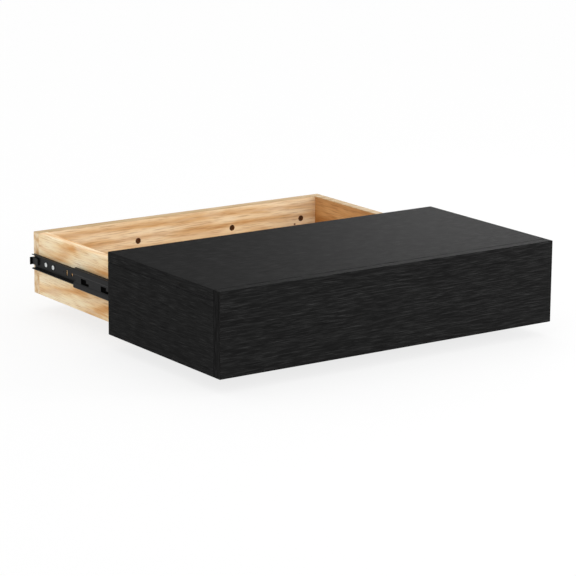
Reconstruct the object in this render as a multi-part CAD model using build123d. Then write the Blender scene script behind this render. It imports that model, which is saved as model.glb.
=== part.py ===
from build123d import *
import os
from math import cos, radians, sqrt, tan

os.makedirs("parts", exist_ok=True)

# Floating shelf: a black shell that slides forward off a wooden box, which is fixed to the wall.
# X runs along the length, +Y into the wall and +Z up. The origin is the middle of the row of
# wall holes, on the wall plane. All sizes are in millimetres.

# Shell: a top over two sides, all three covered at the front by the front panel
shelf_length = 610.0
shelf_depth = 305.0
shelf_height = 128.0
panel_thickness = 16.0
edge_chamfer = 0.8

# Wall box: front and rear boards cover the ends of the side boards
box_height = 99.5
board_thickness = 16.0
box_top_gap = 7.5
box_front_gap = 3.0
base_thickness = 5.0
base_height = 8.0
groove_depth = 5.0
groove_clearance = 0.2

# Wall holes in the rear board, in two pairs on one line
wall_hole_radius = 5.0
wall_hole_drop = 35.0
inner_hole_spacing = 183.0
outer_hole_spacing = 462.0

# Loose wooden tongues that join the boards at every corner, half of each in either board
tongue_thickness = 4.0
tongue_width = 16.0
tongue_margin = 18.0
tongue_clearance = 0.1

# Slides: each side has an inner, a middle and an outer steel channel, one inside the other.
# The shell is drawn open, short of its full travel by the opening left.
slide_space = 12.7
slide_steel = 1.2
slide_above_box_base = 53.0
opening_left = 3.0

inner_height = 24.0
inner_reach = 6.9
inner_inset = 6.0
inner_front_gap = 20.0
tab_height = 12.0
tab_length = 5.0
tab_reach = 7.8

middle_web = 8.8
middle_band_step = 0.7
middle_web_half_height = 6.0
middle_band_slope = 1.6
middle_inset = 1.5
middle_front_gap = 13.5
middle_tip = 1.8
lead_in_length = 18.0
notch_height = 10.0
notch_length = 8.0

outer_height = 42.0
outer_inset = 5.0
outer_front_gap = 4.0
outer_tip = 4.6

# Ball tracks: every track is a V with these flanks
flank_angle = 25.0
track_half_width = 1.8
track_bend = 1.3
shoulder_bend = 0.9
corner_bend = 1.0
running_clearance = 0.02
inner_ball_radius = 1.75
outer_ball_radius = 2.0
inner_ball_line = 4.1
outer_ball_line = 7.2
balls_per_row = 5
inner_ball_pitch = 22.0
outer_ball_pitch = 23.0

# Ball retainers: thin channels that carry the balls in pockets. With the shell drawn open, each
# stops short of the front end of the member inside it by its gap.
retainer_steel = 0.6
retainer_bend = 1.0
retainer_margin = 8.0
pocket_clearance = 0.15
inner_retainer_web = 7.6
inner_retainer_tip = 1.5
outer_retainer_web = 10.8
outer_retainer_tip = 4.2
inner_retainer_gap = 11.25
outer_retainer_gap = 6.25

# Cut-outs of the members' webs, measured from the member's rear end where no other end is named
window_rear_gap = 24.0
window_front_gap = 28.0
window_pitch = 59.5
window_length = 23.5
window_height = 9.2
window_drop = 1.2
window_step_length = 8.0
window_step_height = 4.8
inner_rear_screws = (36.0, 58.5)
inner_screw_from_front = 32.0
pin_hole_place = 91.0
pin_hole_radius = 1.2
upright_slot_place = 100.5
upright_slot_height = 10.0
upright_slot_width = 3.6
round_hole_place = 116.5
round_hole_radius = 2.4
outer_rear_screw = 30.0
outer_screw_from_front = 28.0
long_slot_place = 62.0
long_slot_length = 12.0
long_slot_width = 4.6

# Holes for screws: through the members' webs, and blind ones in the boards behind them
screw_hole_radius = 2.2
pilot_hole_radius = 1.4
pilot_hole_depth = 12.0

# Rubber and plastic stops
pad_length = 16.0
pad_height = 12.0
pad_thickness = 3.0
middle_stop_length = 7.0
middle_stop_height = 20.0
middle_stop_depth = 5.0
outer_stop_length = 7.5
outer_stop_height = 30.0
outer_stop_depth = 5.5
stop_clearance = 0.1
stop_chamfer = 1.0

# Derived sizes
half_length = shelf_length / 2
side_inner = half_length - panel_thickness
box_half = side_inner - slide_space
box_inner_half = box_half - board_thickness
box_depth = shelf_depth - panel_thickness - box_front_gap
box_top = wall_hole_drop
box_bottom = box_top - box_height
base_bottom = box_bottom + base_height
shell_top = box_top + box_top_gap + panel_thickness
shell_bottom = shell_top - shelf_height
panel_under = shell_top - panel_thickness
front_back_face = -(shelf_depth - panel_thickness)
slide_axis = box_bottom + slide_above_box_base

# Slide members end at set distances behind the box's front and the shell's front panel
inner_length = box_depth - inner_inset - inner_front_gap
middle_length = -front_back_face - middle_inset - middle_front_gap
outer_length = -front_back_face - outer_inset - outer_front_gap
shown_opening = outer_length - opening_left
window_places = [window_rear_gap, middle_length - window_front_gap - window_pitch - window_length]
window_places += [place + window_pitch for place in window_places]
inner_retainer_length = (balls_per_row - 1) * inner_ball_pitch + 2 * (inner_ball_radius + retainer_margin)
outer_retainer_length = (balls_per_row - 1) * outer_ball_pitch + 2 * (outer_ball_radius + retainer_margin)
inner_retainer_front = inner_inset + inner_length - shown_opening / 4 - inner_retainer_gap
outer_retainer_front = middle_inset + middle_length - shown_opening / 4 - outer_retainer_gap
inner_retainer_start = inner_retainer_front - inner_retainer_length
outer_retainer_start = outer_retainer_front - outer_retainer_length
inner_screw_places = [*inner_rear_screws, inner_length - inner_screw_from_front]
outer_screw_places = [outer_rear_screw, outer_length - outer_screw_from_front]

# The stack of the ball tracks, outwards from the slide's axis, on the steel's middle line
flank = radians(flank_angle)
steel_on_flank = slide_steel / 2 / cos(flank)
inner_ball_seat = (inner_ball_radius + running_clearance) / cos(flank)
outer_ball_seat = (outer_ball_radius + running_clearance) / cos(flank)
inner_flange = inner_height / 2 - slide_steel / 2
inner_track = inner_flange - track_half_width * tan(flank)
inner_ball_row = inner_track + steel_on_flank + inner_ball_seat
middle_crest = inner_ball_row + inner_ball_seat + steel_on_flank
middle_track = middle_crest - (outer_ball_line - inner_ball_line) * tan(flank)
outer_ball_row = middle_track + steel_on_flank + outer_ball_seat
outer_track = outer_ball_row + outer_ball_seat + steel_on_flank
outer_shoulder = outer_track - track_half_width * tan(flank)
middle_band = middle_web + middle_band_step
outer_web = slide_space - slide_steel / 2
outer_flange = outer_height / 2 - slide_steel / 2


def block(low, high):
    """A plain block between two opposite corners."""
    size = [b - a for a, b in zip(low, high)]
    middle = [(a + b) / 2 for a, b in zip(low, high)]
    return Pos(*middle) * Box(*size)


def board(low, high):
    """A board between two opposite corners, with eased edges."""
    body = block(low, high)
    return chamfer(body.edges(), edge_chamfer)


def tongues(places, growth=0.0):
    """Flat tongues across the joints. Each place gives the middle of a tongue and its size."""
    return [Pos(*middle) * Box(*(length + growth for length in size)) for middle, size in places]


def tongue_slots(places):
    """The slots that the tongues sit in."""
    return tongues(places, 2 * tongue_clearance)


# Places of the tongues. The shell's are given with the shell shut.
box_joint_x = box_half - board_thickness / 2
box_joint_size = (tongue_thickness, tongue_width, box_height - 2 * tongue_margin)
box_joints = [
    ((x, y, (box_top + box_bottom) / 2), box_joint_size)
    for x in (-box_joint_x, box_joint_x)
    for y in (-board_thickness, board_thickness - box_depth)
]
shell_joint_x = half_length - panel_thickness / 2
side_height = panel_under - shell_bottom
top_joint_size = (tongue_thickness, -front_back_face - 2 * tongue_margin, tongue_width)
corner_joint_size = (tongue_thickness, tongue_width, side_height - 2 * tongue_margin)
front_joint_size = (shelf_length - 4 * tongue_margin, tongue_width, tongue_thickness)
shell_joints = [((0, front_back_face, shell_top - panel_thickness / 2), front_joint_size)]
for joint_x in (-shell_joint_x, shell_joint_x):
    shell_joints.append(((joint_x, front_back_face / 2, panel_under), top_joint_size))
    shell_joints.append(((joint_x, front_back_face, shell_bottom + side_height / 2), corner_joint_size))


def base_groove():
    """The space that the base panel's edges take in the four boards, with its clearance."""
    x = box_inner_half + groove_depth
    y_rear = -board_thickness + groove_depth
    y_front = -(box_depth - board_thickness + groove_depth)
    low = (-x, y_front, base_bottom - groove_clearance)
    high = (x, y_rear, base_bottom + base_thickness + groove_clearance)
    return block(low, high)


def rear_board():
    """The board that is screwed to the wall, with four through holes."""
    body = board((-box_half, -board_thickness, box_bottom), (box_half, 0, box_top))
    drill = Rot(90, 0, 0) * Cylinder(wall_hole_radius, 2 * board_thickness)
    for spacing in (inner_hole_spacing, outer_hole_spacing):
        for x in (-spacing / 2, spacing / 2):
            body -= Pos(x, -board_thickness / 2, 0) * drill
    return body - base_groove() - tongue_slots(box_joints)


def front_board():
    """The board at the box's front, which the shelf's front panel hides."""
    body = board((-box_half, -box_depth, box_bottom), (box_half, board_thickness - box_depth, box_top))
    return body - base_groove() - tongue_slots(box_joints)


def side_board(side):
    """A side board of the box, with pilot holes for the slide's screws. Side is 1 on the right."""
    near, far = sorted((side * box_inner_half, side * box_half))
    body = board((near, board_thickness - box_depth, box_bottom), (far, -board_thickness, box_top))
    body = body - base_groove() - tongue_slots(box_joints)
    return body - on_slide(pilot_holes(inner_screw_places, inner_inset, 0.0, -1), side, 0.0)


def base_panel():
    """The thin base, held in the grooves of the four boards."""
    x = box_inner_half + groove_depth - groove_clearance
    y_rear = -board_thickness + groove_depth - groove_clearance
    y_front = -(box_depth - board_thickness + groove_depth - groove_clearance)
    return block((-x, y_front, base_bottom), (x, y_rear, base_bottom + base_thickness))


def on_slide(shape, side, opening):
    """Sets a right-hand slide piece on its side of the box, moved out by that opening."""
    placed = Pos(box_half, -opening, slide_axis) * shape
    return placed if side > 0 else mirror(placed, about=Plane.YZ)


def channel(half_outline, bends, steel, rear, length):
    """A rolled channel. Its half outline runs from the web to the upper tip; the lower half mirrors it."""
    lower = [(u, -z) for u, z in reversed(half_outline)]
    path = FilletPolyline(*lower, *half_outline, radius=[*reversed(bends), *bends])
    return Pos(0, -rear, 0) * extrude(Plane.XZ * trace(path, steel), amount=length)


def web_cut(u, rear, outline):
    """A cut straight through a web. The outline's X is the distance from the rear towards the front."""
    depth = 4 * slide_steel
    sheet = Plane(origin=(u - depth / 2, -rear, 0), x_dir=(0, -1, 0), z_dir=(-1, 0, 0))
    return extrude(sheet * outline, amount=-depth)


def inner_member():
    """The inner channel, screwed to the box's side. Its rear end has a tab bent out as a stop."""
    outline = [
        (slide_steel / 2, inner_flange),
        (inner_ball_line - track_half_width, inner_flange),
        (inner_ball_line, inner_track),
        (inner_ball_line + track_half_width, inner_flange),
        (inner_reach, inner_flange),
    ]
    bends = [corner_bend, shoulder_bend, track_bend, shoulder_bend]
    body = channel(outline, bends, slide_steel, inner_inset, inner_length)
    tab_end = inner_inset - tab_length + slide_steel / 2
    bent = FilletPolyline(
        (slide_steel / 2, -inner_inset),
        (slide_steel / 2, -tab_end),
        (tab_reach, -tab_end),
        radius=corner_bend,
    )
    body += extrude(trace(bent, slide_steel), amount=tab_height / 2, both=True)
    cuts = [Pos(place, 0) * Circle(screw_hole_radius) for place in inner_screw_places]
    cuts.append(Pos(pin_hole_place, 0) * Circle(pin_hole_radius))
    cuts.append(Pos(round_hole_place, 0) * Circle(round_hole_radius))
    upright_slot = Rot(0, 0, 90) * SlotOverall(upright_slot_height, upright_slot_width)
    cuts.append(Pos(upright_slot_place, 0) * upright_slot)
    for cut in cuts:
        body -= web_cut(slide_steel / 2, inner_inset, cut)
    return body


def window():
    """A stamped window of the middle member's web, stepped down at its front end."""
    tall_length = window_length - window_step_length
    low_height = window_height - window_step_height
    low_part = Pos(window_length / 2, -window_step_height / 2) * Rectangle(window_length, low_height)
    return low_part + Pos(tall_length / 2, 0) * Rectangle(tall_length, window_height)


def middle_member():
    """The middle channel. Balls run inside its flanges, and outside them in the outer member."""
    corner = middle_track + (middle_band - outer_ball_line) * tan(flank)
    outline = [
        (middle_web, middle_web_half_height),
        (middle_band, middle_web_half_height + middle_band_slope),
        (middle_band, corner),
        (outer_ball_line, middle_track),
        (inner_ball_line, middle_crest),
        (middle_tip, middle_crest - (inner_ball_line - middle_tip) * tan(flank)),
    ]
    bends = [shoulder_bend, shoulder_bend, shoulder_bend, track_bend, track_bend]
    body = channel(outline, bends, slide_steel, middle_inset, middle_length)
    for start in window_places:
        body -= web_cut(middle_web, middle_inset, Pos(start, -window_drop) * window())
    body -= web_cut(middle_web, middle_inset, SlotOverall(2 * notch_length, notch_height))
    reach = middle_band + slide_steel
    lead_in = Pos(0, -middle_inset) * Polygon((0, 0), (reach, 0), (0, -lead_in_length), align=None)
    for z in (inner_ball_row, -inner_ball_row - outer_height):
        body -= Pos(0, 0, z) * extrude(lead_in, amount=outer_height)
    return body


def outer_member():
    """The outer channel, screwed to the shelf's side panel."""
    dip = outer_ball_line + track_half_width
    outline = [
        (outer_web, outer_flange),
        (dip + outer_flange - outer_shoulder, outer_flange),
        (dip, outer_shoulder),
        (outer_ball_line, outer_track),
        (outer_ball_line - track_half_width, outer_shoulder),
        (outer_tip, outer_shoulder),
    ]
    bends = [corner_bend, shoulder_bend, shoulder_bend, track_bend, shoulder_bend]
    body = channel(outline, bends, slide_steel, outer_inset, outer_length)
    cuts = [Pos(place, 0) * Circle(screw_hole_radius) for place in outer_screw_places]
    cuts.append(Pos(long_slot_place, 0) * SlotOverall(long_slot_length, long_slot_width))
    for cut in cuts:
        body -= web_cut(outer_web, outer_inset, cut)
    return body


def retainer(web, tip, row, radius, line, pitch, start):
    """A ball retainer: a thin channel with a pocket for each ball in its two flanges."""
    length = (balls_per_row - 1) * pitch + 2 * (radius + retainer_margin)
    body = channel([(web, row), (tip, row)], [retainer_bend], retainer_steel, start, length)
    width = 2 * (radius + pocket_clearance)
    for place in ball_places(radius, pitch, start):
        body -= Pos(line, place, 0) * Box(width, width, 2 * (row + radius))
    return body


def ball_places(radius, pitch, start):
    """How far along Y each ball of a row lies, with the slide shut."""
    first = start + radius + retainer_margin
    return [-(first + i * pitch) for i in range(balls_per_row)]


def ball(radius):
    """A ball with flats. From each side it is an octagon inside the ball's circle, to fit its track."""
    half = radius * cos(radians(22.5))
    cube = Box(2 * half, 2 * half, 2 * half)
    return chamfer(cube.edges(), half * (2 - sqrt(2)))


def balls(row, radius, line, pitch, start):
    """The two rows of balls of one retainer, as separate solids."""
    places = ball_places(radius, pitch, start)
    return Compound([Pos(line, y, z) * ball(radius) for y in places for z in (-row, row)])


def inner_retainer():
    return retainer(
        inner_retainer_web,
        inner_retainer_tip,
        inner_ball_row,
        inner_ball_radius,
        inner_ball_line,
        inner_ball_pitch,
        inner_retainer_start,
    )


def outer_retainer():
    return retainer(
        outer_retainer_web,
        outer_retainer_tip,
        outer_ball_row,
        outer_ball_radius,
        outer_ball_line,
        outer_ball_pitch,
        outer_retainer_start,
    )


def inner_balls():
    return balls(inner_ball_row, inner_ball_radius, inner_ball_line, inner_ball_pitch, inner_retainer_start)


def outer_balls():
    return balls(outer_ball_row, outer_ball_radius, outer_ball_line, outer_ball_pitch, outer_retainer_start)


def pilot_holes(places, rear, face, direction):
    """Blind holes for a member's screws, from the face of the board behind its web."""
    drill = Rot(0, 90, 0) * Cylinder(pilot_hole_radius, pilot_hole_depth)
    middle = face + direction * pilot_hole_depth / 2
    return Compound([Pos(middle, -rear - place, 0) * drill for place in places])


def stop(low, high):
    """A moulded stop between two opposite corners, with chamfered edges."""
    body = block(low, high)
    return chamfer(body.edges(), stop_chamfer)


def rear_pad():
    """The rubber pad on the inner member's web, in front of its bent tab."""
    rear = inner_inset - tab_length + slide_steel + stop_clearance
    face = slide_steel
    return stop((face, -rear - pad_length, -pad_height / 2), (face + pad_thickness, -rear, pad_height / 2))


def middle_stop():
    """The plastic stop at the middle member's front end, on the inside of its web."""
    front = middle_inset + middle_length
    face = middle_web - slide_steel / 2
    low = (face - middle_stop_depth, -front, -middle_stop_height / 2)
    return stop(low, (face, middle_stop_length - front, middle_stop_height / 2))


def outer_stop():
    """The plastic stop at the outer member's front end, on the inside of its web."""
    front = outer_inset + outer_length
    face = slide_space - slide_steel
    low = (face - outer_stop_depth, -front, -outer_stop_height / 2)
    return stop(low, (face, outer_stop_length - front, outer_stop_height / 2))


def top_panel():
    """The shelf's top, which lies over the two sides and stops behind the front panel."""
    body = board((-half_length, front_back_face, panel_under), (half_length, 0, shell_top))
    return body - tongue_slots(shell_joints)


def front_panel():
    """The shelf's front, which covers the front edges of the top and the sides."""
    body = board((-half_length, -shelf_depth, shell_bottom), (half_length, front_back_face, shell_top))
    return body - tongue_slots(shell_joints)


def side_panel(side):
    """A side of the shelf, with pilot holes for the outer slide member's screws."""
    near, far = sorted((side * side_inner, side * half_length))
    body = board((near, front_back_face, shell_bottom), (far, 0, panel_under))
    body = body - tongue_slots(shell_joints)
    return body - on_slide(pilot_holes(outer_screw_places, outer_inset, slide_space, 1), side, 0.0)


def save(name, shape):
    """Writes one piece to its own file."""
    export_step(shape, f"parts/{name}.step")


def forward(shape):
    """Moves a piece of the shell forward by the opening shown."""
    return Pos(0, -shown_opening, 0) * shape


# Pieces of the slides and the share of the shell's travel that each one moves by
slide_pieces = {
    "inner_member": (inner_member, 0.0),
    "rear_pad": (rear_pad, 0.0),
    "inner_retainer": (inner_retainer, 0.25),
    "inner_balls": (inner_balls, 0.25),
    "middle_member": (middle_member, 0.5),
    "middle_stop": (middle_stop, 0.5),
    "outer_retainer": (outer_retainer, 0.75),
    "outer_balls": (outer_balls, 0.75),
    "outer_member": (outer_member, 1.0),
    "outer_stop": (outer_stop, 1.0),
}
hands = {"left": -1, "right": 1}

save("rear_board", rear_board())
save("front_board", front_board())
save("base_panel", base_panel())
save("box_tongues", Compound(tongues(box_joints)))
save("top_panel", forward(top_panel()))
save("front_panel", forward(front_panel()))
save("shell_tongues", forward(Compound(tongues(shell_joints))))
for hand, side in hands.items():
    save(f"{hand}_board", side_board(side))
    save(f"{hand}_side_panel", forward(side_panel(side)))
    for name, (make, share) in slide_pieces.items():
        save(f"{name}_{hand}", on_slide(make(), side, share * shown_opening))
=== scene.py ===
import logging
import math
from dataclasses import dataclass, field
from enum import Enum
from typing import Any, Callable

import bpy
import numpy as np
from mathutils import Matrix, Vector


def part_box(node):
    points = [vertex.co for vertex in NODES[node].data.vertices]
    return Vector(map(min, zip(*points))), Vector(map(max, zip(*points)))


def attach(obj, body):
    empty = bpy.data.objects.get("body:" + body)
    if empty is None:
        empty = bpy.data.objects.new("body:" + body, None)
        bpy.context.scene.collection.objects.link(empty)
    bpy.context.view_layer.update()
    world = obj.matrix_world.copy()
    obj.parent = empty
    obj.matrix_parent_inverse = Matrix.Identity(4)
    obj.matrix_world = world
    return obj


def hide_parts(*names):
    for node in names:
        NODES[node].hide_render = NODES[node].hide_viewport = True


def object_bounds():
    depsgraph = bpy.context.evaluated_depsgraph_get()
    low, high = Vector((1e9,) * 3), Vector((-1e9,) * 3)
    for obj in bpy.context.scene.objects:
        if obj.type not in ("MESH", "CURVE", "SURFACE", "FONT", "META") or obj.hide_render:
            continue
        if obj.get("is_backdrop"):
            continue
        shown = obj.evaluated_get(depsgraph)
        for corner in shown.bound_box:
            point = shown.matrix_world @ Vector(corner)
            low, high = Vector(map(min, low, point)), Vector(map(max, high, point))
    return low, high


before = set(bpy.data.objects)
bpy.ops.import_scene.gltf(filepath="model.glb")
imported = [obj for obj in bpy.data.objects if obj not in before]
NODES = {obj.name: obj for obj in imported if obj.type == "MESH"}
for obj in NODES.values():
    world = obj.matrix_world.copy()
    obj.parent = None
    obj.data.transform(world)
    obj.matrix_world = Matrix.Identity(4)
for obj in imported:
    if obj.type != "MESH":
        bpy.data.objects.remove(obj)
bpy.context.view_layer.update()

MM = 0.001
LOG = logging.getLogger("floating_shelf")

Socket = bpy.types.NodeSocket
Tree = bpy.types.ShaderNodeTree
Place = tuple[float, float, float]
FaceTest = Callable[[np.ndarray, np.ndarray], np.ndarray]


class Hand(Enum):
    """The two ends of the shelf, seen from the room."""

    LEFT = ("left", -1.0)
    RIGHT = ("right", 1.0)

    @property
    def word(self) -> str:
        """The word that node and body names use for this end."""
        return self.value[0]

    @property
    def sign(self) -> float:
        """Minus one on the left, plus one on the right."""
        return self.value[1]


class Grain(Enum):
    """The direction that a board's fibres run in, as an index into X, Y and Z."""

    ALONG_LENGTH = 0
    ALONG_DEPTH = 1
    UPRIGHT = 2

    def stretch(self, along_mm: float, across_mm: float) -> tuple[float, float, float]:
        """Mapping scales that turn metres into pattern units stretched along the fibres.

        Args:
            along_mm: Size of a pattern unit along the fibres.
            across_mm: Size of a pattern unit across them.

        Returns:
            The scale on each axis.
        """
        scales = [1000.0 / across_mm] * 3
        scales[self.value] = 1000.0 / along_mm
        return tuple(scales)


# Shader helpers


def linear(hex_colour: str) -> tuple[float, float, float, float]:
    """Turns an sRGB hex colour into linear light.

    Args:
        hex_colour: Six hex digits, with or without a leading hash.

    Returns:
        Linear red, green, blue and an alpha of one.
    """
    digits = hex_colour.lstrip("#")
    channels = np.array([int(digits[i : i + 2], 16) for i in (0, 2, 4)]) / 255.0
    light = np.where(channels <= 0.04045, channels / 12.92, ((channels + 0.055) / 1.055) ** 2.4)
    return (*light.tolist(), 1.0)


def add_node(tree: Tree, kind: str, inputs: dict[Any, Any] | None = None, **settings: Any) -> bpy.types.Node:
    """Adds a node with its settings, and with each input set to a value or linked to a socket.

    Args:
        tree: The node tree that takes the node.
        kind: The node's type name.
        inputs: Input name or index to a value, or to the output socket that feeds it.
        **settings: Attributes of the node itself.

    Returns:
        The new node.
    """
    node = tree.nodes.new(kind)
    for name, value in settings.items():
        setattr(node, name, value)
    for key, value in (inputs or {}).items():
        if isinstance(value, bpy.types.NodeSocket):
            tree.links.new(value, node.inputs[key])
        else:
            node.inputs[key].default_value = value
    return node


def mix_colours(tree: Tree, share: Any, first: Any, second: Any) -> Socket:
    """Mixes two colours.

    Args:
        tree: The tree that takes the node.
        share: Share of the second colour, a number or a socket.
        first: The first colour, linear or a socket.
        second: The second colour.

    Returns:
        The mixed colour.
    """
    # The node has sockets for each type of value: those for colours are inputs 6 and 7 and output 2.
    return add_node(tree, "ShaderNodeMix", {0: share, 6: first, 7: second}, data_type="RGBA").outputs[2]


def seen_directly(tree: Tree) -> Socket:
    """One for camera, glossy and transmission rays, which see the background, and zero for the rest.

    Args:
        tree: The node tree that takes the nodes.

    Returns:
        The greatest of the three ray tests.
    """
    path = add_node(tree, "ShaderNodeLightPath").outputs
    either = add_node(
        tree, "ShaderNodeMath", {0: path["Is Camera Ray"], 1: path["Is Glossy Ray"]}, operation="MAXIMUM"
    )
    return add_node(
        tree, "ShaderNodeMath", {0: either.outputs[0], 1: path["Is Transmission Ray"]}, operation="MAXIMUM"
    ).outputs[0]


@dataclass(frozen=True)
class Finish:
    """A surface finish: a named material with one Principled shader.

    Attributes:
        title: The material's name.
        colour: Its plain colour as sRGB hex.
        roughness: Micro-roughness of its surface.
        metallic: One for bare metal, zero otherwise.
        ior: Index of refraction, for what isn't metal.
    """

    title: str
    colour: str
    roughness: float = 0.5
    metallic: float = 0.0
    ior: float = 1.5

    def material(self) -> bpy.types.Material:
        """Builds the material, or finds the one already built.

        Returns:
            The material.
        """
        made = bpy.data.materials.get(self.title)
        if made:
            return made
        made = bpy.data.materials.new(self.title)
        made.use_nodes = True
        tree = made.node_tree
        shader = tree.nodes["Principled BSDF"]
        shader.inputs["Base Color"].default_value = linear(self.colour)
        shader.inputs["Roughness"].default_value = self.roughness
        shader.inputs["Metallic"].default_value = self.metallic
        if not self.metallic:
            shader.inputs["IOR"].default_value = self.ior
        self.add_pattern(tree, shader)
        return made

    def add_pattern(self, tree: Tree, shader: bpy.types.Node) -> None:
        """Adds the finish's own pattern. Every kind of finish has one in place of this empty one."""

    def fibres(self, tree: Tree, grain: Grain, along: float, across: float, shift: float) -> Socket:
        """Object coordinates in pattern units, stretched along the grain.

        Args:
            tree: The material's tree.
            grain: The direction of the fibres.
            along: Size of a pattern unit along them, in mm.
            across: Size of a pattern unit across them, in mm.
            shift: Moves the pattern, so that boards differ.

        Returns:
            The stretched coordinates.
        """
        place = add_node(tree, "ShaderNodeTexCoord").outputs["Object"]
        moved = (shift, 0.7 * shift, 1.3 * shift)
        inputs = {"Vector": place, "Scale": grain.stretch(along, across), "Location": moved}
        return add_node(tree, "ShaderNodeMapping", inputs).outputs["Vector"]


@dataclass(frozen=True)
class BlackOakVeneer(Finish):
    """Black-stained oak veneer, brushed so that its pores stand open, under a thin satin lacquer.

    The eye gets a charcoal ground, thin pale dashes where the lacquer in a pore catches the light and
    thin black ones where it doesn't. The pale dashes are painted highlights, drawn into the colour. Real
    oak pores are about 0.3 mm wide. Here they are drawn about 1 mm wide, because a finer one wouldn't
    show in the render.

    Attributes:
        grain: Direction of the fibres.
        shift: Moves the pattern, so that panels differ.
        ground: The darkest and the lightest of the stain.
        lit_pore: Colour of a pore whose lacquer catches the light, a painted highlight.
        lit_levels: Noise levels where such a pore begins and where it is full.
        dark_pore: Colour of a pore whose lacquer doesn't.
        dark_levels: Its noise levels.
        dark_growth: How much longer and wider the dark pores are than the lit ones.
        pore_length: Length of a pattern unit along the pores, in mm.
        pore_width: Its width, in mm.
        cloud_length: Length of a cloud of stain, in mm.
        cloud_width: Its width, in mm.
    """

    grain: Grain = Grain.ALONG_LENGTH
    shift: float = 0.0
    ground: tuple[str, str] = ("#151515", "#1d1d1d")
    lit_pore: str = "#3c3c3c"
    lit_levels: tuple[float, float] = (0.52, 0.74)
    dark_pore: str = "#0c0c0c"
    dark_levels: tuple[float, float] = (0.53, 0.76)
    dark_growth: float = 1.3
    pore_length: float = 27.0
    pore_width: float = 0.45
    cloud_length: float = 150.0
    cloud_width: float = 4.0

    def add_pattern(self, tree: Tree, shader: bpy.types.Node) -> None:
        """Adds pale pores, which are painted highlights, and black pores over slow clouds of stain, and a
        little relief at the pores.

        Args:
            tree: The material's tree.
            shader: Its Principled shader.
        """
        slow = self.fibres(tree, self.grain, self.cloud_length, self.cloud_width, self.shift)
        clouds = add_node(tree, "ShaderNodeTexNoise", {"Vector": slow, "Scale": 1.0, "Detail": 2.0})
        dark, light = (linear(colour) for colour in self.ground)
        ground = mix_colours(tree, clouds.outputs["Fac"], dark, light)
        # The pale pores are painted highlights: pores whose lacquer catches the light.
        pale = self.pores(tree, 1.0, *self.lit_levels)
        black = self.pores(tree, self.dark_growth, *self.dark_levels)
        with_pale = mix_colours(tree, pale, ground, linear(self.lit_pore))
        with_black = mix_colours(tree, black, with_pale, linear(self.dark_pore))
        relief = add_node(tree, "ShaderNodeMath", {0: pale, 1: black}, operation="SUBTRACT")
        bump = add_node(
            tree, "ShaderNodeBump", {"Height": relief.outputs[0], "Strength": 0.3, "Distance": 0.1 * MM}
        )
        tree.links.new(with_black, shader.inputs["Base Color"])
        tree.links.new(bump.outputs["Normal"], shader.inputs["Normal"])

    def pores(self, tree: Tree, factor: float, low: float, high: float) -> Socket:
        """A mask of short dashes along the grain: stretched noise, cut between two levels.

        Args:
            tree: The material's tree.
            factor: Makes the dashes longer and wider.
            low: Noise level where a dash begins.
            high: Noise level where it is full.

        Returns:
            The mask, zero to one.
        """
        length, width = factor * self.pore_length, factor * self.pore_width
        place = self.fibres(tree, self.grain, length, width, self.shift + 31.0 * factor)
        noise = add_node(tree, "ShaderNodeTexNoise", {"Vector": place, "Scale": 1.0, "Detail": 2.5})
        cut = add_node(
            tree,
            "ShaderNodeMapRange",
            {"Value": noise.outputs["Fac"], "From Min": low, "From Max": high},
            clamp=True,
        )
        return cut.outputs["Result"]


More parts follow.
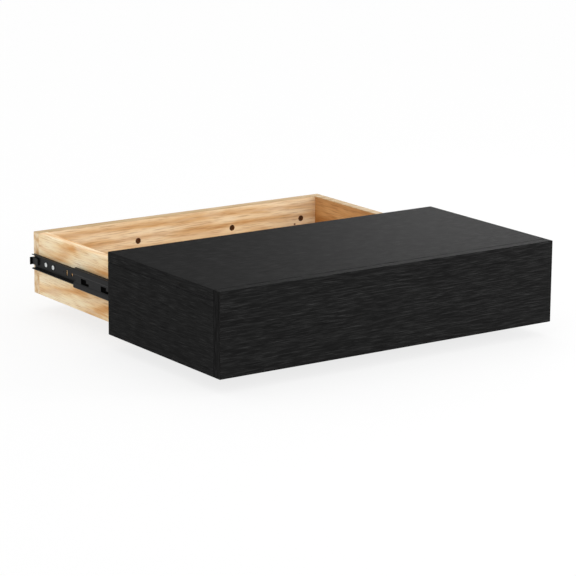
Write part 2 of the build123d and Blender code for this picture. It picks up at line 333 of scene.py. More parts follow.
@dataclass(frozen=True)
class PaleAsh(Finish):
    """Pale ash, plain sawn and sanded, under a clear matt lacquer.

    The eye gets a warm cream ground, soft brown bands where the saw cut the year rings at a low angle,
    and fine darker fibres along the board. Bands are 13 to 26 mm apart on a face. Real fibres are finer
    than the 1 mm that they are drawn at here, because a finer one wouldn't show in the render.

    Attributes:
        grain: Direction of the fibres.
        shift: Moves the pattern, so that boards differ.
        ring_gap: Distance between year rings, in mm.
        ring_centre: The spot that the rings lie about.
        ring_squeeze: How fast the rings change along the board, as a share of how fast across it.
        wander: How far the rings stray from true circles.
        lean: Degrees that the rings are turned about X, once squeezed.
        patch_size: Length and width of a patch of darker wood, in mm.
        fibre_size: Length and width of a fibre, in mm.
        rings: Colours across a ring, from early wood to late wood.
        ring_stops: Where in a ring each colour lies.
        patches: Colours of the patches, from the palest to the darkest.
        patch_stops: The noise level of each of them.
        patch_share: Share of the patches in the mix with the rings.
        fibre_colour: Colour of the fibres.
        fibre_levels: Noise levels where a fibre begins and where it is full.
        fibre_strength: Most that a fibre hides of the wood under it.
        knot: Middle of a pin knot, or none.
        knot_radius: Its radius, in mm.
        knot_colour: Its colour.
    """

    grain: Grain = Grain.ALONG_LENGTH
    shift: float = 0.0
    ring_gap: float = 15.0
    ring_centre: Place = (0.0, 0.09, -0.05)
    ring_squeeze: float = 0.12
    wander: float = 6.0
    lean: float = 0.0
    patch_size: tuple[float, float] = (95.0, 14.0)
    fibre_size: tuple[float, float] = (30.0, 0.95)
    rings: tuple[str, ...] = ("#f5e3c4", "#efd6ae", "#dfb984", "#c4935b")
    ring_stops: tuple[float, ...] = (0.0, 0.45, 0.8, 1.0)
    patches: tuple[str, ...] = ("#f8e8cc", "#eed2a8", "#cf9d63")
    patch_stops: tuple[float, ...] = (0.35, 0.52, 0.68)
    patch_share: float = 0.5
    fibre_colour: str = "#9f6833"
    fibre_levels: tuple[float, float] = (0.52, 0.68)
    fibre_strength: float = 0.55
    knot: Place | None = None
    knot_radius: float = 2.5
    knot_colour: str = "#6a3c1a"

    def add_pattern(self, tree: Tree, shader: bpy.types.Node) -> None:
        """Adds year rings, soft patches, fibres with a little relief, and the knot if there is one.

        Args:
            tree: The material's tree.
            shader: Its Principled shader.
        """
        broad = self.fibres(tree, self.grain, *self.patch_size, self.shift)
        patches = add_node(
            tree, "ShaderNodeTexNoise", {"Vector": broad, "Scale": 1.0, "Detail": 2.0, "Distortion": 0.8}
        )
        fine = self.fibres(tree, self.grain, *self.fibre_size, self.shift)
        fibre = add_node(tree, "ShaderNodeTexNoise", {"Vector": fine, "Scale": 1.0, "Detail": 2.0})
        ring_ramp = self.ramp(tree, self.years(tree), self.ring_stops, self.rings)
        patch_ramp = self.ramp(tree, patches.outputs["Fac"], self.patch_stops, self.patches)
        low, high = self.fibre_levels
        levels = {"From Min": low, "From Max": high, "To Max": self.fibre_strength}
        fibre_cut = add_node(
            tree, "ShaderNodeMapRange", {"Value": fibre.outputs["Fac"], **levels}, clamp=True
        )
        colour = mix_colours(tree, self.patch_share, ring_ramp, patch_ramp)
        colour = mix_colours(tree, fibre_cut.outputs["Result"], colour, linear(self.fibre_colour))
        if self.knot:
            colour = self.with_knot(tree, colour)
        bump = add_node(
            tree, "ShaderNodeBump", {"Height": fibre.outputs["Fac"], "Strength": 0.15, "Distance": 0.1 * MM}
        )
        tree.links.new(colour, shader.inputs["Base Color"])
        tree.links.new(bump.outputs["Normal"], shader.inputs["Normal"])

    def years(self, tree: Tree) -> Socket:
        """Year rings: a wave that runs outwards from an axis along the board, bent by noise.

        Blender's ring wave repeats every 2 pi over 20 times its scale.

        Args:
            tree: The material's tree.

        Returns:
            The place within a ring, zero to one and back.
        """
        slow = [1.0, 1.0, 1.0]
        slow[self.grain.value] = self.ring_squeeze
        squeezed = add_node(
            tree,
            "ShaderNodeMapping",
            {
                "Vector": add_node(tree, "ShaderNodeTexCoord").outputs["Object"],
                "Scale": tuple(slow),
                "Rotation": (math.radians(self.lean), 0.0, 0.0),
                "Location": tuple(-along for along in self.ring_centre),
            },
        )
        return add_node(
            tree,
            "ShaderNodeTexWave",
            {
                "Vector": squeezed.outputs["Vector"],
                "Scale": 2.0 * math.pi / 20.0 / (self.ring_gap * MM),
                "Distortion": self.wander,
                "Detail": 3.0,
                "Detail Scale": 0.55,
                "Detail Roughness": 0.6,
                "Phase Offset": self.shift,
            },
            wave_type="RINGS",
            rings_direction="XYZ"[self.grain.value],
        ).outputs["Fac"]

    def ramp(self, tree: Tree, value: Socket, stops: tuple[float, ...], colours: tuple[str, ...]) -> Socket:
        """Turns a value into a colour.

        Args:
            tree: The material's tree.
            value: What runs along the ramp.
            stops: Places from zero to one.
            colours: The colour at each place.

        Returns:
            The colour.
        """
        node = add_node(tree, "ShaderNodeValToRGB", {"Fac": value})
        bar = node.color_ramp.elements
        while len(bar) < len(stops):
            bar.new(0.5)
        for element, place, colour in zip(bar, stops, colours):
            element.position = place
            element.color = linear(colour)
        return node.outputs["Color"]

    def with_knot(self, tree: Tree, colour: Socket) -> Socket:
        """Adds one small dark pin knot: a ball of dark wood about a point of the board.

        Args:
            tree: The material's tree.
            colour: The wood's colour without it.

        Returns:
            The colour with it.
        """
        place = add_node(tree, "ShaderNodeTexCoord").outputs["Object"]
        away = add_node(tree, "ShaderNodeVectorMath", {0: place, 1: self.knot}, operation="DISTANCE")
        near = add_node(
            tree,
            "ShaderNodeMapRange",
            {
                "Value": away.outputs["Value"],
                "From Min": self.knot_radius * MM,
                "From Max": 0.4 * self.knot_radius * MM,
            },
            clamp=True,
        )
        return mix_colours(tree, near.outputs["Result"], colour, linear(self.knot_colour))


@dataclass(frozen=True)
class UnevenFinish(Finish):
    """A finish that is even at a distance and slightly uneven close by.

    Attributes:
        second: The other colour that it wavers towards, as sRGB hex.
        grain: Direction that the unevenness is stretched in.
        patch_length: Length of a patch along that direction, in mm.
        patch_width: Its width, in mm.
        gloss_spread: How far the roughness goes up and down.
        relief: Height of the relief, in mm.
    """

    second: str = "#000000"
    grain: Grain = Grain.ALONG_DEPTH
    patch_length: float = 10.0
    patch_width: float = 2.5
    gloss_spread: float = 0.08
    relief: float = 0.05

    def add_pattern(self, tree: Tree, shader: bpy.types.Node) -> None:
        """Adds the wavering colour and gloss and the relief.

        Args:
            tree: The material's tree.
            shader: Its Principled shader.
        """
        place = self.fibres(tree, self.grain, self.patch_length, self.patch_width, 0.0)
        waver = add_node(tree, "ShaderNodeTexNoise", {"Vector": place, "Scale": 1.0, "Detail": 3.0})
        noise = waver.outputs["Fac"]
        low, high = self.roughness - self.gloss_spread, self.roughness + self.gloss_spread
        gloss = add_node(tree, "ShaderNodeMapRange", {"Value": noise, "To Min": low, "To Max": high})
        bump = add_node(
            tree, "ShaderNodeBump", {"Height": noise, "Strength": 0.1, "Distance": self.relief * MM}
        )
        colour = mix_colours(tree, noise, linear(self.colour), linear(self.second))
        tree.links.new(colour, shader.inputs["Base Color"])
        tree.links.new(gloss.outputs["Result"], shader.inputs["Roughness"])
        tree.links.new(bump.outputs["Normal"], shader.inputs["Normal"])


# Mesh helpers


def add_piece(
    name: str, points: np.ndarray, faces: list[list[int]], body: str, finish: Finish
) -> bpy.types.Object:
    """Puts a new mesh into the scene and lets it ride on a CAD body.

    Args:
        name: Name of the object and its mesh.
        points: Vertices in metres, in the shared frame.
        faces: Vertex numbers of each face, pointing outwards.
        body: Name of the CAD body that it moves with.
        finish: Its finish.

    Returns:
        The new object, at the origin.
    """
    mesh = bpy.data.meshes.new(name)
    mesh.from_pydata(points, [], faces)
    mesh.polygons.foreach_set("use_smooth", np.ones(len(mesh.polygons), bool))
    mesh.materials.append(finish.material())
    mesh.update()
    thing = bpy.data.objects.new(name, mesh)
    bpy.context.scene.collection.objects.link(thing)
    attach(thing, body)
    LOG.info("%s: %d faces, rides on %s", name, len(faces), body)
    return thing


def turned_faces(rings: int, turns: int, copies: int = 1) -> list[list[int]]:
    """Faces of turned surfaces: one pole, rings of equal count, and a second pole.

    The vertices of a copy are the first pole, then each ring in order, then the last pole. The faces
    point outwards where the first pole is the upper one and the rings run anticlockwise from above.

    Args:
        rings: Number of rings between the poles.
        turns: Vertices in a ring.
        copies: Number of surfaces whose vertices follow one another.

    Returns:
        Triangles at the poles and four-sided faces between the rings.
    """
    around = np.arange(turns)
    onward = (around + 1) % turns
    last = 1 + (rings - 1) * turns
    end = 1 + rings * turns
    ring = 1 + np.arange(rings - 1)[:, None] * turns
    top = np.stack([1 + around, 1 + onward, np.zeros(turns, int)], 1)
    quads = np.stack([ring + turns + around, ring + turns + onward, ring + onward, ring + around], 2)
    bottom = np.stack([last + onward, last + around, np.full(turns, end)], 1)
    parts = (top, quads.reshape(-1, 4), bottom)
    return [face for copy in range(copies) for part in parts for face in (part + copy * (end + 1)).tolist()]


@dataclass
class BallRows:
    """The steel balls of one retainer, as true spheres where the CAD's have flats.

    Attributes:
        node: The CAD node that they stand for.
        body: The body that they ride on.
        radius: Radius of a ball.
        in_a_row: Balls in each of the two rows.
        rings: Rings of a ball between its poles.
        turns: Vertices in a ring.
    """

    node: str
    body: str
    radius: float
    in_a_row: int = 5
    rings: int = 11
    turns: int = 24

    def centres(self) -> np.ndarray:
        """Middles of the balls: two rows, evenly spaced along Y between the node's ends.

        Returns:
            One point for each ball.
        """
        low, high = (np.array(corner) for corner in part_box(self.node))
        # The CAD's balls are octagons inside the ball's circle, so their flats lie this far out.
        inset = self.radius * math.cos(math.radians(22.5))
        along = np.linspace(low[1] + inset, high[1] - inset, self.in_a_row)
        rows = np.array([low[2] + inset, high[2] - inset])
        grid = np.stack(np.meshgrid(along, rows, indexing="ij"), -1).reshape(-1, 2)
        return np.column_stack([np.full(len(grid), (low[0] + high[0]) / 2), grid])

    def build(self, finish: Finish) -> bpy.types.Object:
        """Makes the balls in one mesh.

        A point of a ball is its centre plus the radius times (sin p cos t, sin p sin t, cos p), where p
        runs from pole to pole and t once around.

        Args:
            finish: The balls' finish.

        Returns:
            The object.
        """
        p = np.linspace(0.0, math.pi, self.rings + 2)[1:-1, None]
        t = np.linspace(0.0, 2.0 * math.pi, self.turns, endpoint=False)[None, :]
        skin = np.stack([np.sin(p) * np.cos(t), np.sin(p) * np.sin(t), np.cos(p) + 0.0 * t], -1)
        ball = self.radius * np.vstack([[0.0, 0.0, 1.0], skin.reshape(-1, 3), [0.0, 0.0, -1.0]])
        centres = self.centres()
        points = (centres[:, None, :] + ball[None, :, :]).reshape(-1, 3)
        faces = turned_faces(self.rings, self.turns, len(centres))
        thing = add_piece(f"{self.node}_round", points, faces, self.body, finish)
        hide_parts(self.node)
        return thing


@dataclass
class Screw:
    """A cross-recessed screw of zinc-plated steel.

    Attributes:
        head_radius: Radius of the head.
        head_height: Height of the head's middle over its seat.
        rim_height: Height of the head's edge.
        shank_radius: Radius of the shank, inside its pilot hole.
        shank_length: Length of the shank below the seat.
        recess_reach: Reach of the cross's arms.
        recess_width: Half width of an arm.
        recess_depth: Depth of the cross at its middle.
        recess_edge: Width of the soft step at an arm's side.
        recess_fall: How steeply an arm's floor rises to its end.
        crown_rings: Rings on the head's crown, close enough for the cross to show.
        turns: Vertices in a ring.
    """

    head_radius: float = 3.8 * MM
    head_height: float = 1.9 * MM
    rim_height: float = 0.9 * MM
    shank_radius: float = 1.3 * MM
    shank_length: float = 11.5 * MM
    recess_reach: float = 2.1 * MM
    recess_width: float = 0.5 * MM
    recess_depth: float = 1.3 * MM
    recess_edge: float = 0.25 * MM
    recess_fall: float = 1.6
    crown_rings: int = 26
    turns: int = 96

    def points(self) -> tuple[np.ndarray, int]:
        """Vertices of the screw about its own axis, seated on z = 0 with its head towards +Z.

        The crown is an arc of height from head_height at the axis down to rim_height at the rim, falling
        with the square of the radius. The cross sinks it by its depth, tapering towards each arm's end.
        Below the rim the outline runs down the head's side, under it and along the shank to its tip.

        Returns:
            The vertices and the number of rings.
        """
        t = np.linspace(0.0, 2.0 * math.pi, self.turns, endpoint=False)
        r = np.linspace(0.04, 0.96, self.crown_rings) * self.head_radius
        crown = self.head_height - (self.head_height - self.rim_height) * (r / self.head_radius) ** 2
        x, y = r[:, None] * np.cos(t), r[:, None] * np.sin(t)
        z = crown[:, None] - self.recess(x, y)
        top = np.stack([x, y, z], -1)
        rim = self.head_radius
        side = [(rim, 0.9 * self.rim_height), (rim, 0.02 * MM)]
        seat = [(0.97 * rim, 0.0), (self.shank_radius + 0.2 * MM, 0.0)]
        shank = [(self.shank_radius, -0.1 * MM), (self.shank_radius, -self.shank_length + 2.5 * MM)]
        tip = [(0.3 * self.shank_radius, -self.shank_length + 0.4 * MM)]
        outline = np.array(side + seat + shank + tip)
        below = np.stack(
            [outline[:, :1] * np.cos(t), outline[:, :1] * np.sin(t), outline[:, 1:] + 0.0 * t], -1
        )
        rings = np.concatenate([top, below])
        middle = self.head_height - float(self.recess(np.zeros((1, 1)), np.zeros((1, 1)))[0, 0])
        poles = np.array([[0.0, 0.0, middle], [0.0, 0.0, -self.shank_length]])
        return np.vstack([poles[:1], rings.reshape(-1, 3), poles[1:]]), len(rings)

    def recess(self, x: np.ndarray, y: np.ndarray) -> np.ndarray:
        """Depth of the cross, the deeper of its two arms.

        Args:
            x: Places along one arm.
            y: Places along the other.

        Returns:
            The depth.
        """
        return np.maximum(self.arm(x, y), self.arm(y, x))

    def arm(self, along: np.ndarray, across: np.ndarray) -> np.ndarray:
        """Depth of one arm of the cross: a soft step at its half width, times a fall to its end.

        Args:
            along: Places along the arm.
            across: Places across it.

        Returns:
            The depth.
        """
        side = np.clip((self.recess_width - np.abs(across)) / self.recess_edge + 0.5, 0.0, 1.0)
        fall = np.clip(1.0 - np.abs(along) / self.recess_reach, 0.0, 1.0)
        return self.recess_depth * side * np.minimum(1.0, self.recess_fall * fall)

    def set_in(
        self, name: str, spots: np.ndarray, facing: float, body: str, finish: Finish
    ) -> bpy.types.Object:
        """Makes copies of the screw at spots on an upright face, each turned a little differently.

        Args:
            name: Name of the object.
            spots: Middles of the seats.
            facing: Sign of X that the heads point to.
            body: Body that the screws ride on.
            finish: Their finish.

        Returns:
            The object.
        """
        shape, rings = self.points()
        turn = np.linspace(0.25, 1.3, len(spots))[:, None]
        across = shape[None, :, 0] * np.cos(turn) - shape[None, :, 1] * np.sin(turn)
        upright = shape[None, :, 0] * np.sin(turn) + shape[None, :, 1] * np.cos(turn)
        outwards = np.broadcast_to(shape[None, :, 2], across.shape)
        local = np.stack([facing * outwards, facing * across, upright], -1)
        points = (spots[:, None, :] + local).reshape(-1, 3)
        thing = add_piece(name, points, turned_faces(rings, self.turns, len(spots)), body, finish)
        return thing


# Sub-assemblies


def dress(node: str, finish: Finish) -> None:
    """Gives a CAD node its finish.

    Args:
        node: The node's name.
        finish: The finish of its faces.
    """
    mesh = NODES[node].data
    mesh.materials.clear()
    mesh.materials.append(finish.material())
    LOG.info("%s: dressed in %s", node, finish.title)


def dress_faces(node: str, test: FaceTest, finish: Finish) -> None:
    """Gives another finish to the faces of a dressed CAD node that pass a test.

    Args:
        node: The node's name.
        test: Takes the faces' middles and normals, and says which faces take the finish.
        finish: Their finish.
    """
    mesh = NODES[node].data
    middles = np.zeros(len(mesh.polygons) * 3, np.float32)
    normals = np.zeros_like(middles)
    slots = np.zeros(len(mesh.polygons), np.int32)
    mesh.polygons.foreach_get("center", middles)
    mesh.polygons.foreach_get("normal", normals)
    mesh.polygons.foreach_get("material_index", slots)
    mesh.materials.append(finish.material())
    slots[test(middles.reshape(-1, 3), normals.reshape(-1, 3))] = len(mesh.materials) - 1
    mesh.polygons.foreach_set("material_index", slots)
    mesh.update()
    LOG.info("%s: some faces dressed in %s", node, finish.title)


def looks_up(middles: np.ndarray, normals: np.ndarray) -> np.ndarray:
    """Says which faces look more or less upwards."""
    return normals[:, 2] > 0.6


def looks_endwise(middles: np.ndarray, normals: np.ndarray) -> np.ndarray:
    """Says which faces look straight along X, at the shelf's ends."""
    return np.abs(normals[:, 0]) > 0.9


@dataclass
class WallBox:
    """The pale wooden box that is screwed to the wall.

    Attributes:
        rear: Finish of the rear board, with the one small knot that shows in it.
        front: Finish of the front board.
        left: Finish of the left board.
        right: Finish of the right board.
        base: Finish of the base panel.
        edge: Finish of the boards' upper edges.
        drilled: Finish of the wall holes' insides.
        hole_places: X of the wall holes, which lie on the line z = 0.
        hole_radius: Their radius.
    """

    rear: Finish = PaleAsh(
        "lacquered_ash_rear_board", "#ecca96", 0.6, ior=1.4, shift=3.1,
        ring_gap=17.0, ring_centre=(0.0, 0.03, -0.09), knot=(0.2185, -0.016, -0.0087),
    )
    front: Finish = PaleAsh(
        "lacquered_ash_front_board", "#ecca96", 0.6, ior=1.3, shift=8.4, ring_centre=(0.0, 0.2, 0.1)
    )
    # The left board has the boldest figure: broad tongues of orange between pale cream. Its rings, patches
    # and fibres are also drawn paler than the rear board's: painted light, for the light on its outer face.
    left: Finish = PaleAsh(
        "lacquered_ash_left_board", "#ecca96", 0.6, ior=1.3, grain=Grain.ALONG_DEPTH, shift=5.7,
        ring_gap=13.0, ring_centre=(-0.33, 0.0, -0.1), wander=9.0, lean=62.0, fibre_colour="#bf8448",
        rings=("#ffeecb", "#fbe0b2", "#efc48b", "#d99a58"), patches=("#fff0d0", "#f8daab", "#e2a562"),
    )
    # The right board is drawn darker and browner than the other three: painted shade, for the shade that it
    # stands in.
    right: Finish = PaleAsh(
        "lacquered_ash_right_board", "#ecca96", 0.6, ior=1.3, grain=Grain.ALONG_DEPTH, shift=11.2,
        ring_centre=(0.34, 0.0, 0.02), fibre_colour="#8a5a2e",
        rings=("#d9ac76", "#cc9a61", "#b58045", "#9c6734"), patches=("#dcb07c", "#ca955c", "#a8703a"),
    )
    # The base panel is seen from under the shelf only.
    base: Finish = PaleAsh("lacquered_ash_base_panel", "#ecca96", 0.6, ior=1.3, shift=17.9, ring_gap=26.0)
    # Sawn upper edges, less yellow than the faces.
    edge: Finish = PaleAsh(
        "lacquered_ash_board_edges", "#d9bd94", 0.7, ior=1.15, shift=21.0,
        rings=("#cfb893", "#c9ae86", "#bc9e73", "#ab8c60"), patches=("#d3bd9c", "#c7ab82", "#b09265"),
    )
    # Bare end grain inside the wall holes, drawn dark brown: painted shade, for the shade deep in the holes.
    drilled: Finish = PaleAsh(
        "wall_hole_painted_shade", "#6b3f1c", 0.85, ior=1.3, ring_gap=4.0, fibre_colour="#2a1608",
        rings=("#9a6431", "#87532a", "#6b3f1c", "#4f2e13"), patches=("#a06832", "#804d24", "#553216"),
    )
    hole_places: tuple[float, ...] = (-231.0 * MM, -91.5 * MM, 91.5 * MM, 231.0 * MM)
    hole_radius: float = 5.0 * MM

    def build(self) -> None:
        """Dresses the boards, the base and the loose tongues in their joints."""
        dress("rear_board", self.rear)
        dress("front_board", self.front)
        dress("left_board", self.left)
        dress("right_board", self.right)
        dress("base_panel", self.base)
        dress("box_tongues", self.base)
        for board in ("rear_board", "front_board", "right_board"):
            dress_faces(board, looks_up, self.edge)
        dress_faces("rear_board", self.in_a_hole, self.drilled)

    def in_a_hole(self, middles: np.ndarray, normals: np.ndarray) -> np.ndarray:
        """Says which faces lie on a wall hole's inside: near its axis, and not facing along it.

        Args:
            middles: Middles of the faces.
            normals: Their normals.

        Returns:
            True for each face inside a hole.
        """
        across = middles[:, None, 0] - np.array(self.hole_places)
        away = np.hypot(across, middles[:, None, 2]).min(1)
        return (away < 1.05 * self.hole_radius) & (np.abs(normals[:, 1]) < 0.5)


@dataclass
class Shell:
    """The black shelf that slides over the box.

    Attributes:
        top: Finish of the top panel.
        front: Finish of the front panel.
        left: Finish of the left side.
        right: Finish of the right side.
        banding: Finish of the edges at the shelf's ends, banded with upright grain.
        tongues: Finish of the loose tongues in its joints.
    """

    top: Finish = BlackOakVeneer("black_oak_veneer_top", "#171717", 0.7, ior=1.05, shift=2.0)
    front: Finish = BlackOakVeneer("black_oak_veneer_front", "#171717", 0.7, ior=1.05, shift=9.0)
    # The two sides are drawn a shade lighter than the top and front: painted light, for the light that falls
    # on the sides.
    left: Finish = BlackOakVeneer(
        "black_oak_veneer_left_side", "#1c1c1c", 0.7, ior=1.05, grain=Grain.ALONG_DEPTH, shift=14.0,
        ground=("#1b1b1b", "#252525"),
    )
    right: Finish = BlackOakVeneer(
        "black_oak_veneer_right_side", "#1c1c1c", 0.7, ior=1.05, grain=Grain.ALONG_DEPTH, shift=23.0,
        ground=("#1b1b1b", "#252525"),
    )
    banding: Finish = BlackOakVeneer(
        "black_oak_edge_banding", "#171717", 0.7, ior=1.05, grain=Grain.UPRIGHT, shift=5.0
    )
    tongues: Finish = PaleAsh("ash_joint_tongues", "#ecca96", 0.6, grain=Grain.ALONG_DEPTH)

    def build(self) -> None:
        """Dresses the four panels, with banded ends on the top and front, and the tongues."""
        dress("top_panel", self.top)
        dress_faces("top_panel", looks_endwise, self.left)
        dress("front_panel", self.front)
        dress_faces("front_panel", looks_endwise, self.banding)
        dress("left_side_panel", self.left)
        dress("right_side_panel", self.right)
        dress("shell_tongues", self.tongues)


@dataclass
class Slide:
    """One telescopic ball-bearing slide.

    Attributes:
        hand: The end of the shelf that it is on.
        steel: Finish of the three members.
        cage: Finish of the ball retainers, nearly black as painted shade.
        ball: Finish of the balls.
        rubber: Finish of the rear pad.
        plastic: Finish of the front stops.
        zinc: Finish of the screws.
        inner_ball: Radius of an inner ball.
        outer_ball: Radius of an outer ball.
        inner_screws: How far the inner screws lie behind the inner member's rear end.
        outer_screws: The same for the outer member.
        web_steel: Thickness of the members' steel.
        tab_overhang: How far the inner member's bent tab stands behind its channel.
        screw: A screw of the inner member.
        low_screw: A screw of the outer member, low enough for the middle member to pass.
    """

    hand: Hand
    # Cold-rolled steel under a thin black dip coat, semi-gloss with a faint orange peel.
    steel: Finish = UnevenFinish("black_dip_coated_steel", "#050506", 0.38, ior=1.2, second="#0b0b0c")
    # Retainer strips, dull and nearly black with a faint brown-grey waver: painted shade, for the shade
    # inside the slide that fills the view through the windows.
    cage: Finish = UnevenFinish("retainer_painted_shade", "#050505", 0.8, ior=1.05, second="#080807")
    # Polished balls under a film of grease, which breaks up their highlight.
    ball: Finish = UnevenFinish(
        "greased_bearing_steel", "#d3d6da", 0.16, 1.0, second="#aeb0ad",
        patch_length=1.6, patch_width=1.2, gloss_spread=0.08, relief=0.01,
    )
    # Moulded rubber: matt, with a grain that takes all the shine off it.
    rubber: Finish = UnevenFinish(
        "black_rubber_pad", "#0b0b0c", 0.75, second="#151515", patch_length=0.9, patch_width=0.9, relief=0.08
    )
    # Moulded nylon: a shade paler than the steel, with a fine spark-eroded grain.
    plastic: Finish = UnevenFinish(
        "black_moulded_nylon", "#121213", 0.5, second="#1b1b1c", patch_length=0.7, patch_width=0.7
    )
    # Bright zinc, slightly blue, with the cloudy bloom of a clear passivation.
    zinc: Finish = UnevenFinish(
        "zinc_plated_steel", "#e6e6e2", 0.34, 1.0, second="#c3c7cb",
        patch_length=1.8, patch_width=1.4, gloss_spread=0.1, relief=0.02,
    )
    inner_ball: float = 1.75 * MM
    outer_ball: float = 2.0 * MM
    inner_screws: tuple[float, ...] = (36.0 * MM, 58.5 * MM, 228.0 * MM)
    outer_screws: tuple[float, ...] = (30.0 * MM, 252.0 * MM)
    web_steel: float = 1.2 * MM
    tab_overhang: float = 5.0 * MM
    screw: Screw = field(default_factory=Screw)
    low_screw: Screw = field(
        default_factory=lambda: Screw(
            head_radius=3.4 * MM,
            head_height=0.9 * MM,
            rim_height=0.5 * MM,
            recess_reach=1.9 * MM,
            recess_depth=0.8 * MM,
        )
    )

    def build(self) -> None:
        """Dresses the slide's CAD nodes and adds its round balls and its screws."""
        word = self.hand.word
        for member in ("inner_member", "middle_member", "outer_member"):
            dress(f"{member}_{word}", self.steel)
        for strip in ("inner_retainer", "outer_retainer"):
            dress(f"{strip}_{word}", self.cage)
        for balls in ("inner_balls", "outer_balls"):
            dress(f"{balls}_{word}", self.ball)
        dress(f"rear_pad_{word}", self.rubber)
        dress(f"middle_stop_{word}", self.plastic)
        dress(f"outer_stop_{word}", self.plastic)
        BallRows(f"inner_balls_{word}", f"inner_cage_{word}", self.inner_ball).build(self.ball)
        BallRows(f"outer_balls_{word}", f"outer_cage_{word}", self.outer_ball).build(self.ball)
        self.add_inner_screws()
        self.add_outer_screws()

    def add_inner_screws(self) -> None:
        """Sets pan-head screws on the inner member's web, from its place in the frame."""
        node = f"inner_member_{self.hand.word}"
        low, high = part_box(node)
        box_face = min(low.x, high.x, key=abs)
        web = box_face + self.hand.sign * self.web_steel
        rear = high.y - self.tab_overhang
        spots = np.array([(web, rear - back, (low.z + high.z) / 2) for back in self.inner_screws])
        name = f"inner_screws_{self.hand.word}"
        self.screw.set_in(name, spots, self.hand.sign, "wall_box", self.zinc)

    def add_outer_screws(self) -> None:
        """Sets low-head screws on the inside of the outer member's web."""
        node = f"outer_member_{self.hand.word}"
        low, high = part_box(node)
        side_face = max(low.x, high.x, key=abs)
        web = side_face - self.hand.sign * self.web_steel
        spots = np.array([(web, high.y - back, (low.z + high.z) / 2) for back in self.outer_screws])
        name = f"outer_screws_{self.hand.word}"
        self.low_screw.set_in(name, spots, -self.hand.sign, "shell", self.zinc)


@dataclass(frozen=True)
class Sun:
    """Wide even light from one direction.

    Attributes:
        name: The lamp's name.
        power: Its strength, in W/m2.
        place: The direction that it shines from.
        spread: Angle of its disc, in degrees.
        aim: The spot that it points at.
    """

    name: str
    power: float
    place: Place
    spread: float
    aim: Place = (0.0, 0.0, 0.0)

    def hang(self) -> None:
        """Hangs the lamp."""
        lamp = bpy.data.lights.new(self.name, "SUN")
        lamp.energy = self.power
        lamp.angle = math.radians(self.spread)
        hang_lamp(lamp, self.place, self.aim)


@dataclass(frozen=True)
class SoftBox:
    """A bright rectangle.

    Attributes:
        name: The lamp's name.
        power: Its strength, in W.
        place: Its middle.
        aim: The spot that it points at.
        size: Its width and height.
        gloss_only: Whether it shows in gloss only, and lights nothing else.
    """

    name: str
    power: float
    place: Place
    aim: Place
    size: tuple[float, float]
    gloss_only: bool = False

    def hang(self) -> None:
        """Hangs the lamp."""
        lamp = bpy.data.lights.new(self.name, "AREA")
        lamp.energy = self.power
        lamp.shape = "RECTANGLE"
        lamp.size, lamp.size_y = self.size
        hang_lamp(lamp, self.place, self.aim).visible_diffuse = not self.gloss_only


def hang_lamp(lamp: bpy.types.Light, place: Place, aim: Place) -> bpy.types.Object:
    """Puts a lamp into the scene, out of the camera's sight.

    Args:
        lamp: The lamp.
        place: Where it is.
        aim: The spot that it points at.

    Returns:
        Its object.
    """
    hung = bpy.data.objects.new(lamp.name, lamp)
    hung.location = place
    hung.rotation_mode = "QUATERNION"
    hung.rotation_quaternion = (Vector(aim) - Vector(place)).to_track_quat("-Z", "Y")
    hung.visible_camera = False
    bpy.context.scene.collection.objects.link(hung)
    LOG.info("%s: hung", lamp.name)
    return hung


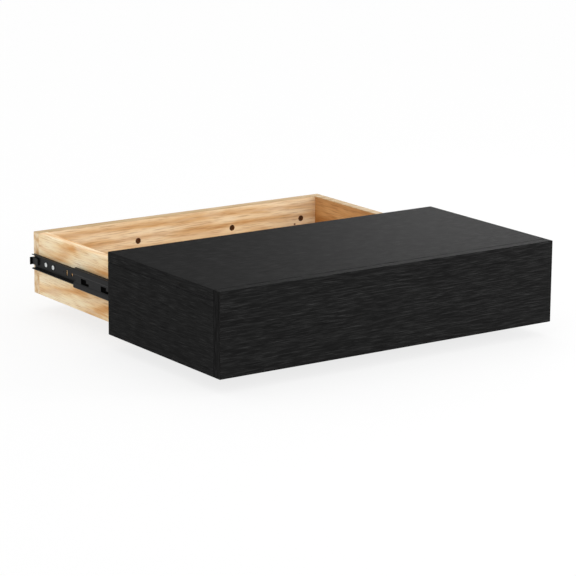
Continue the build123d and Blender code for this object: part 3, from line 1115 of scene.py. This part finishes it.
@dataclass
class Studio:
    """The floor, the light and the camera.

    Attributes:
        floor_drop: How far the floor lies under the shelf.
        floor_size: Half width of the floor.
        floor_glow: Share of the floor that the camera sees as plain white, whatever falls on it.
        sky: Strength of the even light from all round.
        lamps: Wide lights from above and the front, a soft box by the right front, and a card behind
            the right end that gives the top its sheen.
        paper: Finish of the floor: matt paper with a faint tooth.
        lens: The camera's focal length, in mm.
        sensor: The sensor's width, in mm.
        place: The camera's place.
        azimuth: Degrees from looking along +Y, turning left of it.
        elevation: Degrees that the camera looks down.
        roll: Degrees that the camera is turned about its own axis.
        reach: How far the camera sees, past the floor's edges.
    """

    floor_drop: float = 0.022
    floor_size: float = 30.0
    floor_glow: float = 0.79
    sky: float = 0.84
    lamps: tuple[Sun | SoftBox, ...] = (
        Sun("overhead_light", 0.35, (0.2, 0.25, 1.0), 50.0),
        Sun("front_light", 0.3, (0.1, -1.0, 0.6), 45.0),
        SoftBox("front_soft_box", 20.0, (1.6, -1.9, 0.35), (0.2, -0.58, 0.0), (0.8, 0.8)),
        SoftBox("gloss_card", 27.0, (1.35, 0.45, 0.45), (0.2, -0.45, 0.0), (1.2, 0.7), gloss_only=True),
    )
    paper: Finish = UnevenFinish(
        "white_studio_paper", "#fbfbfb", 0.9, ior=1.1, second="#f9f9f9",
        patch_length=40.0, patch_width=30.0,
    )
    lens: float = 162.996
    sensor: float = 36.0
    place: Place = (-2.255, -3.5477, 0.9251)
    azimuth: float = -34.8673
    elevation: float = 13.6234
    roll: float = 0.4146
    reach: float = 100.0

    def build(self) -> None:
        """Builds the whole studio."""
        self.add_floor()
        self.add_sky()
        for lamp in self.lamps:
            lamp.hang()
        self.add_camera()

    def add_floor(self) -> None:
        """Adds a pale matt floor, a flat square under the shelf."""
        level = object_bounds()[0].z - self.floor_drop
        s = self.floor_size
        corners = np.array([(-s, -s, level), (s, -s, level), (s, s, level), (-s, s, level)])
        mesh = bpy.data.meshes.new("studio_floor")
        mesh.from_pydata(corners, [], [[0, 1, 2, 3]])
        mesh.materials.append(self.floor_material())
        floor = bpy.data.objects.new("studio_floor", mesh)
        bpy.context.scene.collection.objects.link(floor)
        floor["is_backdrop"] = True
        LOG.info("studio_floor: laid")

    def floor_material(self) -> bpy.types.Material:
        """The floor's paper, part of which glows for the camera, so that the shadow on it stays light.

        Returns:
            The material.
        """
        material = self.paper.material()
        tree = material.node_tree
        shader = tree.nodes["Principled BSDF"]
        glow = add_node(tree, "ShaderNodeEmission", {"Color": linear("#ffffff"), "Strength": 1.0})
        share = add_node(
            tree, "ShaderNodeMath", {0: seen_directly(tree), 1: self.floor_glow}, operation="MULTIPLY"
        )
        mixed = add_node(
            tree, "ShaderNodeMixShader", {0: share.outputs[0], 1: shader.outputs[0], 2: glow.outputs[0]}
        )
        tree.links.new(mixed.outputs[0], tree.nodes["Material Output"].inputs["Surface"])
        return material

    def add_sky(self) -> None:
        """Adds even light from all round, which cameras, gloss and glass see as white."""
        world = bpy.data.worlds.new("studio_sky")
        bpy.context.scene.world = world
        world.use_nodes = True
        tree = world.node_tree
        tree.nodes.clear()
        even = add_node(tree, "ShaderNodeBackground", {"Color": linear("#ffffff"), "Strength": self.sky})
        white = add_node(tree, "ShaderNodeBackground", {"Color": linear("#ffffff"), "Strength": 1.0})
        mixed = add_node(
            tree, "ShaderNodeMixShader", {0: seen_directly(tree), 1: even.outputs[0], 2: white.outputs[0]}
        )
        add_node(tree, "ShaderNodeOutputWorld", {"Surface": mixed.outputs[0]})

    def add_camera(self) -> None:
        """Adds the camera and makes it the scene's own."""
        a, e, r = (math.radians(v) for v in (self.azimuth, self.elevation, self.roll))
        back = Vector((math.sin(a) * math.cos(e), -math.cos(a) * math.cos(e), math.sin(e)))
        level = Vector((math.cos(a), math.sin(a), 0.0))
        upright = back.cross(level)
        right = level * math.cos(r) + upright * math.sin(r)
        up = upright * math.cos(r) - level * math.sin(r)
        eye = bpy.data.cameras.new("camera")
        eye.lens = self.lens
        eye.sensor_width = self.sensor
        eye.clip_end = self.reach
        camera = bpy.data.objects.new("camera", eye)
        turned = Matrix((right, up, back)).transposed().to_4x4()
        camera.matrix_world = Matrix.Translation(self.place) @ turned
        bpy.context.scene.collection.objects.link(camera)
        bpy.context.scene.camera = camera
        LOG.info("camera: placed")


def main() -> None:
    """Builds the looks of the shelf and its studio."""
    logging.basicConfig(level=logging.INFO, format="%(name)s: %(message)s")
    bpy.context.scene.view_settings.view_transform = "Standard"
    WallBox().build()
    Shell().build()
    for hand in Hand:
        Slide(hand).build()
    Studio().build()


if __name__ == "__main__":
    main()
